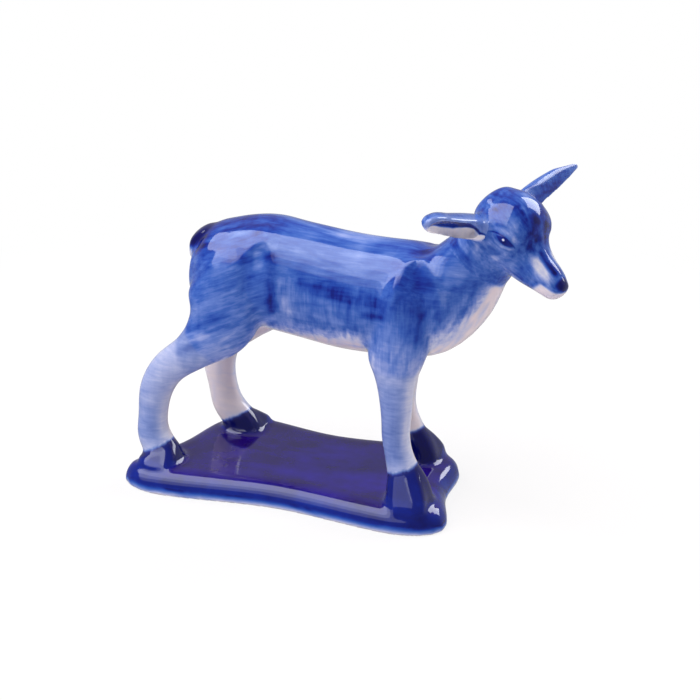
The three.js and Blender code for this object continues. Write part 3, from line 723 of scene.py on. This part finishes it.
# A pale patch on the muzzle's side: partly a thin wash of paint, partly a painted reflection of the softbox.
MUZZLE_AT, MUZZLE_SIZE, MUZZLE_PALE_REFLECTION = (14.6, -3.6, 1.6), (4.0, 1.6, 1.4), 0.14
NOSE_AT, NOSE_SIZE = np.array((21.4, 0, 1.4)), np.array((2.4, 3.2, 2.1))
CHIN_PALE, JAW_PALE = 0.06, 0.16
EYE_BACK, EYE_FRONT = np.array((1.0, -10.0, 2.3)), np.array((6.7, -8.0, 2.5))
EYE_UP = np.array((0, 0.35, 0.94))
EYE_HALF = 3.5
EYEBALL, EYELID = 0.86, 0.96


# The eye is an almond between its corners, with a dark upper lid, a pale lower one and a painted glint in it,
# a small white highlight.
def eye_parts(at):
    run = (EYE_FRONT - EYE_BACK) / np.linalg.norm(EYE_FRONT - EYE_BACK)
    rise = EYE_UP - (EYE_UP @ run) * run
    rise = rise / np.linalg.norm(rise)
    middle = (EYE_BACK + EYE_FRONT) / 2
    u = (at - middle) @ run / EYE_HALF
    v = (at - middle) @ rise
    near = step(5, 3.5, np.linalg.norm(at - middle, axis=1))
    top = 1.05 * (1 - u * u)
    low = -0.95 * (1 - u * u)
    w = (u - 0.12) / 0.8
    almond = np.minimum(1.1 * (1 - w * w) - v, v + 0.95 * (1 - w * w))
    ball = step(-0.2, 0.3, almond) * step(1.05, 0.8, np.abs(w))
    lid = 0.85 * np.exp(-((v - top) / 0.24) ** 2) * step(1.5, 0.9, np.abs(u + 0.2))
    pale = np.exp(-((v - low + 0.65) / 0.42) ** 2) * step(1.15, 0.7, np.abs(u - 0.1))
    brow = np.exp(-((v - top - 1.3) / 0.6) ** 2) * step(1.2, 0.6, np.abs(u + 0.2))
    pupil = np.exp(-(((u - 0.12) / 0.3) ** 2 + ((v - 0.1) / 0.8) ** 2))
    # A painted glint: a small white highlight dot in the eye.
    painted_glint = step(0.45, 0.22, np.hypot((u + 0.02) * 3.1, v - 0.3))
    return [part * near for part in (ball, lid, pale, brow, pupil, painted_glint)]


def face_paint(points, normals, values):
    at = folded(head_local(points))
    dense = values[:, 0]
    for centre, size, amount in FACE_PATCHES:
        dense = dense + amount * blob(at, centre, size)
    # The muzzle's pale patch, partly paint and partly a painted reflection.
    dense = mixed(dense, MUZZLE_PALE_REFLECTION, np.minimum(1, 1.5 * blob(at, MUZZLE_AT, MUZZLE_SIZE)))
    for line, width, amount in FACE_STROKES:
        dense = dense + amount * line_blob(at, line, width)
    chin = step(0.1, -0.9, at[:, 2] + 0.16 * (20 - at[:, 0])) * step(16.8, 18.6, at[:, 0] - 0.2 * at[:, 2])
    dense = mixed(dense, CHIN_PALE, chin)
    jaw = step(0.35, 0.75, -normals @ HEAD_AXES[2]) * step(14, 9, at[:, 0]) * step(7, 1, at[:, 0])
    dense = mixed(dense, JAW_PALE, jaw)
    nose = step(1.0, 0.55, np.linalg.norm((at - NOSE_AT) / NOSE_SIZE, axis=1))
    dense = mixed(dense, 1.0, nose)
    ball, lid, pale, brow, pupil, painted_glint = eye_parts(at)
    dense = mixed(dense - 0.2 * pale - 0.16 * brow, EYEBALL, ball) + 0.12 * pupil
    dense = mixed(dense, EYELID, lid)
    # The painted glint is left as bare white glaze.
    dense = mixed(dense, 0.0, painted_glint)
    out = values.copy()
    out[:, 0] = np.clip(dense, 0, 1)
    out[:, 1] = values[:, 1] * (1 - np.clip(ball + nose + painted_glint + lid, 0, 1)) * (1 - 0.6 * chin)
    out[:, 2] = np.maximum(step(0.2, 0.03, out[:, 0]) * (1 - painted_glint), 0.4 * ball)
    return out


# Places along and across an ear are counted in these lengths, and the near ear's fold is a line of them.
EAR_ALONG, EAR_ACROSS = 13.5, 4
FOLD = {-0.7: 0.25, -0.56: 0.1, -0.35: -0.2, -0.1: -0.35, 0.4: -0.27, 0.7: -0.1}
# The near ear's fold is dark paint that also stands for the shade in the hollow under it, and its rim carries
# a pale line that is a painted highlight.
HOLLOW_PALE, FOLD_DARK_AND_SHADE, RIM_BLUE, RIM_HIGHLIGHT_LINE, TIP_BLUE = 0.02, 0.9, 0.44, 0.1, 0.4


def ear_paint(name):
    middle, along, across, opening = ear_axes(name)

    def near_hollow(t, v):
        fold = np.interp(t, list(FOLD), list(FOLD.values()))
        # Dark along the fold: paint, and painted shade of the hollow under it.
        hollow = mixed(HOLLOW_PALE, FOLD_DARK_AND_SHADE, step(fold - 0.1, fold + 0.06, v))
        hollow = mixed(hollow, RIM_BLUE, step(0.24, 0.4, v))
        reach = step(0.85, 0.6, t) * step(-0.4, -0.2, t)
        # A pale line along the rim: a painted highlight.
        hollow = mixed(hollow, RIM_HIGHLIGHT_LINE, reach * np.exp(-((v - 0.5) / 0.08) ** 2))
        return mixed(hollow, TIP_BLUE, step(0.78, 0.95, t))

    def paint_on(points, normals, values):
        rel = points - middle
        t = rel @ along / EAR_ALONG
        v = rel @ across / EAR_ACROSS
        facing = normals @ opening
        inside = np.maximum(step(-0.1, 0.3, facing), step(-0.5, -0.8, v)) * step(-0.85, -0.7, t)
        dense = values[:, 0]
        if name == "ear_right":
            dense = mixed(dense, near_hollow(t, v), inside)
        else:
            # The far ear is darker along its upper edge, and its tip is painted paler as a highlight.
            dense = dense + 0.14 * step(0.6, 0.9, v) - 0.3 * step(0.95, 1.08, t)
            dense = mixed(dense, 0.08 + 0.5 * step(0.2, 0.7, np.abs(v)), step(0.5, 0.8, facing))
        out = values.copy()
        out[:, 0] = np.clip(dense, 0, 1)
        out[:, 1] = values[:, 1] * mixed(1, 0.4, inside)
        out[:, 2] = 0.1 * step(0.25, 0.05, out[:, 0])
        return out

    return paint_on


# Nodes shared by all glazed pieces.
def node_with(tree, kind, values):
    made = tree.nodes.new(kind)
    for key, value in values.items():
        if key in made.inputs:
            made.inputs[key].default_value = value
        else:
            setattr(made, key, value)
    return made


def math_node(tree, operation, a, b, clamp=False):
    node = tree.nodes.new("ShaderNodeMath")
    node.operation = operation
    node.use_clamp = clamp
    for slot, value in zip(node.inputs, (a, b)):
        if isinstance(value, (int, float)):
            slot.default_value = value
        else:
            tree.links.new(value, slot)
    return node.outputs[0]


def attribute_parts(tree, name):
    attribute = node_with(tree, "ShaderNodeAttribute", {"attribute_name": name})
    parts = tree.nodes.new("ShaderNodeSeparateColor")
    tree.links.new(attribute.outputs["Color"], parts.inputs[0])
    return [*parts.outputs[:3], attribute.outputs["Alpha"]]


def stroke_noise(tree, coords, turn, stretch, size):
    turned = {"vector_type": "TEXTURE", "Rotation": turn, "Scale": stretch}
    mapping = node_with(tree, "ShaderNodeMapping", turned)
    tree.links.new(coords, mapping.inputs["Vector"])
    noise = node_with(tree, "ShaderNodeTexNoise", {"Scale": size, "Detail": 3.0, "Roughness": 0.6})
    tree.links.new(mapping.outputs["Vector"], noise.inputs["Vector"])
    return math_node(tree, "SUBTRACT", noise.outputs["Fac"], 0.5)


def srgb(code):
    parts = [int(code[i:i + 2], 16) / 255 for i in (1, 3, 5)]
    return [p / 12.92 if p <= 0.04045 else ((p + 0.055) / 1.055) ** 2.4 for p in parts] + [1]


# The glaze's colour from bare to the densest cobalt.
RAMP = [
    (0.0, "#e8e3ea"), (0.14, "#c6cbe6"), (0.28, "#98a6da"), (0.45, "#6380c8"),
    (0.6, "#3a62b6"), (0.74, "#1d46a4"), (0.86, "#0d2686"), (1.0, "#040a56"),
]
WARM_TINT = "#fcf3f3"
HAUNCH_SLANT = math.radians(-24)
CLOUD_SIZE, CLOUD_SHARE = 200, 0.7
HUE_TURN = 0.07
GLOSS = {"From Min": 0.3, "From Max": 0.7, "To Min": 0.05, "To Max": 0.1}
DULLER = 0.36
GLAZE_IOR = 1.66
GLAZE_SHEEN = (0.88, 0.9, 1, 1)


def cobalt_density(tree, coords):
    dense, streaky, warm, on_head = attribute_parts(tree, "paint")
    lengthwise, upright, slanted, round_leg = attribute_parts(tree, "lay")
    layers = [
        (lengthwise, (0, 0, 0), (10, 1, 1), 1200),
        (upright, (0, 0, 0), (1, 1, 10), 1200),
        (slanted, (0, HAUNCH_SLANT, 0), (10, 1.6, 1), 1150),
        (round_leg, (0, 0, 0), (6, 6, 1), 1400),
        (on_head, (0, NOD, TURN), (6, 1, 1), 1000),
        (on_head, (0, 0, 0), (1, 1, 1), 430),
    ]
    cloud = stroke_noise(tree, coords, (0, 0, 0), (1, 1, 1), CLOUD_SIZE)
    total = math_node(tree, "MULTIPLY", cloud, CLOUD_SHARE)
    for weight, turn, stretch, size in layers:
        noise = stroke_noise(tree, coords, turn, stretch, size)
        total = math_node(tree, "ADD", total, math_node(tree, "MULTIPLY", noise, weight))
    streaks = math_node(tree, "MULTIPLY", total, streaky)
    return math_node(tree, "ADD", dense, streaks, True), warm


def glaze_colour(tree, dense, warm, violet, keep):
    ramp = tree.nodes.new("ShaderNodeValToRGB")
    while len(ramp.color_ramp.elements) < len(RAMP):
        ramp.color_ramp.elements.new(0.5)
    for element, (place, code) in zip(ramp.color_ramp.elements, RAMP):
        element.position = place
        element.color = srgb(code)
    tree.links.new(dense, ramp.inputs["Fac"])
    tint = tree.nodes.new("ShaderNodeMix")
    tint.data_type = "RGBA"
    tint.blend_type = "MULTIPLY"
    tint.inputs["B"].default_value = srgb(WARM_TINT)
    tree.links.new(warm, tint.inputs["Factor"])
    tree.links.new(ramp.outputs["Color"], tint.inputs["A"])
    turned = tree.nodes.new("ShaderNodeHueSaturation")
    hue = math_node(tree, "MULTIPLY", violet, HUE_TURN)
    tree.links.new(math_node(tree, "ADD", hue, 0.5), turned.inputs["Hue"])
    tree.links.new(keep, turned.inputs["Saturation"])
    tree.links.new(tint.outputs["Result"], turned.inputs["Color"])
    return turned.outputs["Color"]


def glaze(name):
    material = bpy.data.materials.new(name)
    material.use_nodes = True
    tree = material.node_tree
    links = tree.links
    shader = tree.nodes["Principled BSDF"]
    coords = tree.nodes.new("ShaderNodeTexCoord").outputs["Object"]
    dense, warm = cobalt_density(tree, coords)
    violet, keep, dull, _ = attribute_parts(tree, "tone")
    links.new(glaze_colour(tree, dense, warm, violet, keep), shader.inputs["Base Color"])
    ripple = node_with(tree, "ShaderNodeTexNoise", {"Scale": 160.0, "Detail": 2.0})
    links.new(coords, ripple.inputs["Vector"])
    bump = node_with(tree, "ShaderNodeBump", {"Strength": 0.05, "Distance": 0.0006})
    links.new(ripple.outputs["Fac"], bump.inputs["Height"])
    links.new(bump.outputs["Normal"], shader.inputs["Normal"])
    gloss = node_with(tree, "ShaderNodeMapRange", GLOSS)
    links.new(ripple.outputs["Fac"], gloss.inputs["Value"])
    duller = math_node(tree, "MULTIPLY", dull, DULLER)
    links.new(math_node(tree, "ADD", gloss.outputs["Result"], duller), shader.inputs["Roughness"])
    shader.inputs["IOR"].default_value = GLAZE_IOR
    shader.inputs["Specular Tint"].default_value = GLAZE_SHEEN
    return material


MATERIALS = {slot["slot"]: glaze("glaze_" + slot["slot"]) for slot in frame["record"]["materials"]}


# One closed piece for each casting, cut from the fused skin and shaded by its normals.
face_kind = nearest_node(skin.p[skin.q].mean(axis=1))
FINE = {"head": face_paint, "ear_right": ear_paint("ear_right"), "ear_left": ear_paint("ear_left")}


def divided(values, quads):
    edges = edges_of(quads)
    count = len(values)
    code = edges[:, 0] * count + edges[:, 1]
    mids = []
    for i in range(4):
        pair = np.sort(quads[:, [i, (i + 1) % 4]], axis=1)
        mids.append(count + np.searchsorted(code, pair[:, 0] * count + pair[:, 1]))
    centre = count + len(edges) + np.arange(len(quads))
    grown = np.concatenate([values, values[edges].mean(axis=1), values[quads].mean(axis=1)])
    parts = [np.stack([quads[:, i], mids[i], centre, mids[i - 1]], axis=1) for i in range(4)]
    return grown, np.concatenate(parts)


# The cut ends, which the neighbouring pieces hide, are closed with fans.
def capped(mesh):
    bm = bmesh.new()
    bm.from_mesh(mesh)
    rim = [e for e in bm.edges if e.is_boundary]
    caps = bmesh.ops.holes_fill(bm, edges=rim, sides=0)["faces"]
    bmesh.ops.poke(bm, faces=caps)
    bm.to_mesh(mesh)
    bm.free()


def piece(name):
    own = skin.q[face_kind == KIND[name]]
    used = np.unique(own)
    place = np.full(skin.n, -1)
    place[used] = np.arange(len(used))
    quads = place[own]
    layers = (skin.p, normal, facing_way, paint, lay, tone)
    values = np.concatenate([rows[used] for rows in layers], axis=1)
    if name in FINE:
        values, quads = divided(values, quads)
    ends = np.cumsum([rows.shape[1] for rows in layers])[:-1]
    points, normals, ways, painted, laid, toned = np.split(values, ends, axis=1)
    normals = unit(normals)
    if name in FINE:
        painted = FINE[name](points, ways, painted)
    mesh = bpy.data.meshes.new("glazed_" + name)
    mesh.from_pydata((points * MM).tolist(), [], quads.tolist())
    capped(mesh)
    padding = ((0, len(mesh.vertices) - len(points)), (0, 0))
    unpadded = (normals, painted, laid, toned)
    normals, painted, laid, toned = (np.pad(rows, padding, "edge") for rows in unpadded)
    for key, rows in (("paint", painted), ("lay", laid), ("tone", toned)):
        layer = mesh.attributes.new(key, "FLOAT_COLOR", "POINT")
        layer.data.foreach_set("color", rows.astype(np.float32).ravel())
    mesh.shade_smooth()
    mesh.normals_split_custom_set_from_vertices(normals.tolist())
    made = bpy.data.objects.new("glazed_" + name, mesh)
    bpy.context.scene.collection.objects.link(made)
    mesh.materials.append(MATERIALS[SLOTS[name]])
    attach(made, "root")
    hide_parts(name)


for name in NAMES:
    piece(name)

# Floor, light and camera, in metres.
AIM = Vector((0.013, 0, 0.045))
FLOOR_REACH = 3.0
FLOOR_GAP = 0.00002
FLOOR_COLOUR = "#ece8ea"
# The floor turns plain white from the object's shadow outwards.
FLOOR_WHITE = {"From Min": 0.06, "From Max": 0.22, "To Min": 0.78, "To Max": 1.0}
ROOM_COLOUR = (1, 0.95, 0.91, 1)
ROOM_LIGHT, ROOM_GLOSS_CHANGE = 0.36, -0.2
# How much of the white backdrop the glaze mirrors, from the room's near side to its far side.
BACKDROP_SEEN = {"From Min": -0.1, "From Max": 0.5, "To Min": 0.0, "To Max": 0.28}


def area_light(name, towards, along, offset, distance, width, height, radiance):
    data = bpy.data.lights.new(name, "AREA")
    data.shape = "RECTANGLE"
    data.size = width
    data.size_y = height
    data.energy = radiance * math.pi * width * height
    lamp = bpy.data.objects.new(name, data)
    towards = Vector(towards).normalized()
    along = (Vector(along) - towards * towards.dot(Vector(along))).normalized()
    lamp.location = AIM + towards * distance + along * offset
    lamp.rotation_euler = Matrix((along.cross(towards), along, towards)).transposed().to_euler()
    bpy.context.scene.collection.objects.link(lamp)


def floor_material():
    material = bpy.data.materials.new("pale_floor")
    material.use_nodes = True
    tree = material.node_tree
    tree.nodes.clear()
    out = tree.nodes.new("ShaderNodeOutputMaterial")
    matt = node_with(tree, "ShaderNodeBsdfDiffuse", {"Color": srgb(FLOOR_COLOUR)})
    glow = node_with(tree, "ShaderNodeEmission", {"Color": (1, 1, 1, 1), "Strength": 1.0})
    mix = tree.nodes.new("ShaderNodeMixShader")
    geometry = tree.nodes.new("ShaderNodeNewGeometry")
    length = node_with(tree, "ShaderNodeVectorMath", {"operation": "LENGTH"})
    tree.links.new(geometry.outputs["Position"], length.inputs[0])
    white = node_with(tree, "ShaderNodeMapRange", FLOOR_WHITE)
    tree.links.new(length.outputs["Value"], white.inputs["Value"])
    path = tree.nodes.new("ShaderNodeLightPath")
    seen = math_node(tree, "MULTIPLY", white.outputs["Result"], path.outputs["Is Camera Ray"])
    tree.links.new(seen, mix.inputs["Fac"])
    tree.links.new(matt.outputs[0], mix.inputs[1])
    tree.links.new(glow.outputs[0], mix.inputs[2])
    tree.links.new(mix.outputs[0], out.inputs["Surface"])
    return material


def floor():
    mesh = bpy.data.meshes.new("floor")
    signs = ((-1, -1), (1, -1), (1, 1), (-1, 1))
    mesh.from_pydata([(FLOOR_REACH * a, FLOOR_REACH * b, 0) for a, b in signs], [], [(0, 1, 2, 3)])
    made = bpy.data.objects.new("floor", mesh)
    made.location.z = -FLOOR_GAP
    bpy.context.scene.collection.objects.link(made)
    mesh.materials.append(floor_material())
    made.visible_glossy = False


def studio():
    world = bpy.data.worlds.new("studio")
    bpy.context.scene.world = world
    world.use_nodes = True
    tree = world.node_tree
    tree.nodes.clear()
    out = tree.nodes.new("ShaderNodeOutputWorld")
    room = node_with(tree, "ShaderNodeBackground", {"Color": ROOM_COLOUR})
    seen = node_with(tree, "ShaderNodeBackground", {"Color": (1, 1, 1, 1), "Strength": 1.0})
    mix = tree.nodes.new("ShaderNodeMixShader")
    coords = tree.nodes.new("ShaderNodeTexCoord")
    parts = tree.nodes.new("ShaderNodeSeparateXYZ")
    tree.links.new(coords.outputs["Generated"], parts.inputs[0])
    behind = node_with(tree, "ShaderNodeMapRange", BACKDROP_SEEN)
    tree.links.new(parts.outputs["Y"], behind.inputs["Value"])
    path = tree.nodes.new("ShaderNodeLightPath")
    dimmer = math_node(tree, "MULTIPLY", path.outputs["Is Glossy Ray"], ROOM_GLOSS_CHANGE)
    tree.links.new(math_node(tree, "ADD", dimmer, ROOM_LIGHT), room.inputs["Strength"])
    bounced = math_node(tree, "MAXIMUM", path.outputs["Is Glossy Ray"], path.outputs["Is Transmission Ray"])
    bounced = math_node(tree, "MULTIPLY", bounced, behind.outputs["Result"])
    fac = math_node(tree, "MAXIMUM", path.outputs["Is Camera Ray"], bounced)
    tree.links.new(fac, mix.inputs["Fac"])
    tree.links.new(room.outputs[0], mix.inputs[1])
    tree.links.new(seen.outputs[0], mix.inputs[2])
    tree.links.new(mix.outputs[0], out.inputs["Surface"])


floor()
studio()
# The long softbox overhead dims towards its near end, and a smaller one stands behind to the right.
OVERHEAD, RUN = (-0.43, -0.46, 0.775), (0.05, 0.857, 0.514)
OVERHEAD_AWAY, OVERHEAD_WIDTH = 0.6, 0.84
# The parts of the long one: place along it, length and brightness.
OVERHEAD_PARTS = [
    ("overhead_far", 0.2, 0.44, 3.4),
    ("overhead_middle", -0.12, 0.2, 2.2),
    ("overhead_near", -0.32, 0.2, 0.85),
]
for name, offset, height, radiance in OVERHEAD_PARTS:
    area_light(name, OVERHEAD, RUN, offset, OVERHEAD_AWAY, OVERHEAD_WIDTH, height, radiance)
BACK, BACK_AWAY, BACK_WIDTH, BACK_RADIANCE = (0.5, 0.65, 0.57), 0.7, 0.42, 5.6
area_light("back_softbox", BACK, (0, 0, 1), 0, BACK_AWAY, BACK_WIDTH, BACK_WIDTH, BACK_RADIANCE)

AZIMUTH, ELEVATION, DISTANCE = math.radians(20), math.radians(24), 0.52
TARGET = Vector((0.0131, 0, 0.0429))
LENS, SENSOR = 95.5, 36
camera = bpy.data.objects.new("camera", bpy.data.cameras.new("camera"))
bpy.context.scene.collection.objects.link(camera)
towards = Vector((
    math.sin(AZIMUTH) * math.cos(ELEVATION), -math.cos(AZIMUTH) * math.cos(ELEVATION), math.sin(ELEVATION),
))
camera.location = TARGET + towards * DISTANCE
camera.rotation_euler = towards.to_track_quat("Z", "Y").to_euler()
camera.data.sensor_width = SENSOR
camera.data.lens = LENS
bpy.context.scene.camera = camera
bpy.context.scene.view_settings.view_transform = "Standard"
